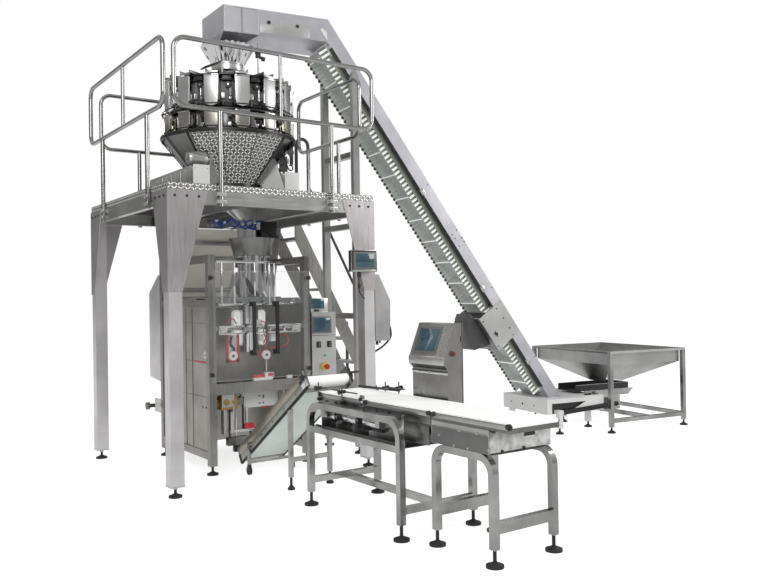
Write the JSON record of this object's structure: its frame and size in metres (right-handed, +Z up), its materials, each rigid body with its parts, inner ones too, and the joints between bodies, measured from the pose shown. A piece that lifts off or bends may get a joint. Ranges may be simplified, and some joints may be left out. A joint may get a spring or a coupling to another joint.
{
  "type": "vertical form fill seal packing line",
  "caption": "Vertical form fill seal bagger under a multihead weigher platform, with belt elevator, hopper, take-off conveyor and checkweigher.",
  "frame": {"origin": "on the floor under the centre of the platform's front left leg", "axes": "+X to the right along the front, +Y away from the front, +Z up"},
  "size_m": [5.6825, 4.476, 3.865],
  "materials": {
    "steel": "brushed stainless steel",
    "checker_plate": "embossed aluminium plate",
    "polished": "polished stainless steel",
    "black_metal": "black satin paint",
    "dark_panel": "dark grey satin",
    "black_rubber": "black rubber",
    "black_plastic": "black moulded plastic",
    "clear": "clear acrylic panel",
    "belt": "white food-grade belt",
    "film": "wound packaging film",
    "painted_white": "white paint",
    "bronze": "bronze-coloured housing"
  },
  "bodies": {
    "frame": {"platform_legs": "steel", "levelling_feet": "black_rubber", "platform_gussets": "steel", "platform_beams": "steel", "platform_deck": "checker_plate", "front_railing": "steel", "left_railing": "steel", "back_railing": "steel", "right_railing": "steel", "stair_stringers": "steel", "stair_treads": "checker_plate", "stair_handrails": "black_metal", "weigher_base": "steel", "discharge_cone": "polished", "ring_plate": "black_metal", "lower_buckets": "polished", "upper_buckets": "polished", "weigher_drum": "black_metal", "infeed_funnel": "polished", "elevator_props": "steel", "elevator_casing": "steel", "elevator_belt": "belt", "elevator_head": "steel", "elevator_boot": "painted_white", "elevator_drive": "steel", "hopper_bin": "steel", "hopper_frame": "steel", "feeder_pan": "black_metal", "feeder_drive": "steel", "collecting_funnel": "polished", "bagger_frame": "steel", "bagger_panels": "dark_panel", "forming_tube": "polished", "forming_collar": "polished", "pull_belts": "black_rubber", "belt_bar": "polished", "sealing_jaws": "polished", "jaw_drive": "bronze", "film_arms": "steel", "film_roll": "film", "rear_cabinet": "steel", "door_hinges": "black_metal", "control_box": "steel", "weigher_screen": "black_plastic", "air_cabinet": "steel", "takeoff_conveyor": "dark_panel", "takeoff_belt": "belt", "takeoff_stand": "steel", "checkweigher_stand": "steel", "reject_stand": "steel", "checkweigher_bed": "dark_panel", "checkweigher_belt": "belt", "reject_box": "steel", "console": "steel"},
    "left_door": {"left_door": "clear", "left_handle": "black_plastic"},
    "right_door": {"right_door": "clear", "right_handle": "black_plastic"}
  },
  "joints": [
    {"name": "left_door_hinge", "type": "hinge", "parent": "frame", "child": "left_door", "pos_m": [0.484, 0.46, 1.18], "axis": [0, 0, -1], "range_deg": [0, 110]},
    {"name": "right_door_hinge", "type": "hinge", "parent": "frame", "child": "right_door", "pos_m": [1.376, 0.46, 1.18], "axis": [0, 0, 1], "range_deg": [0, 110]}
  ]
}
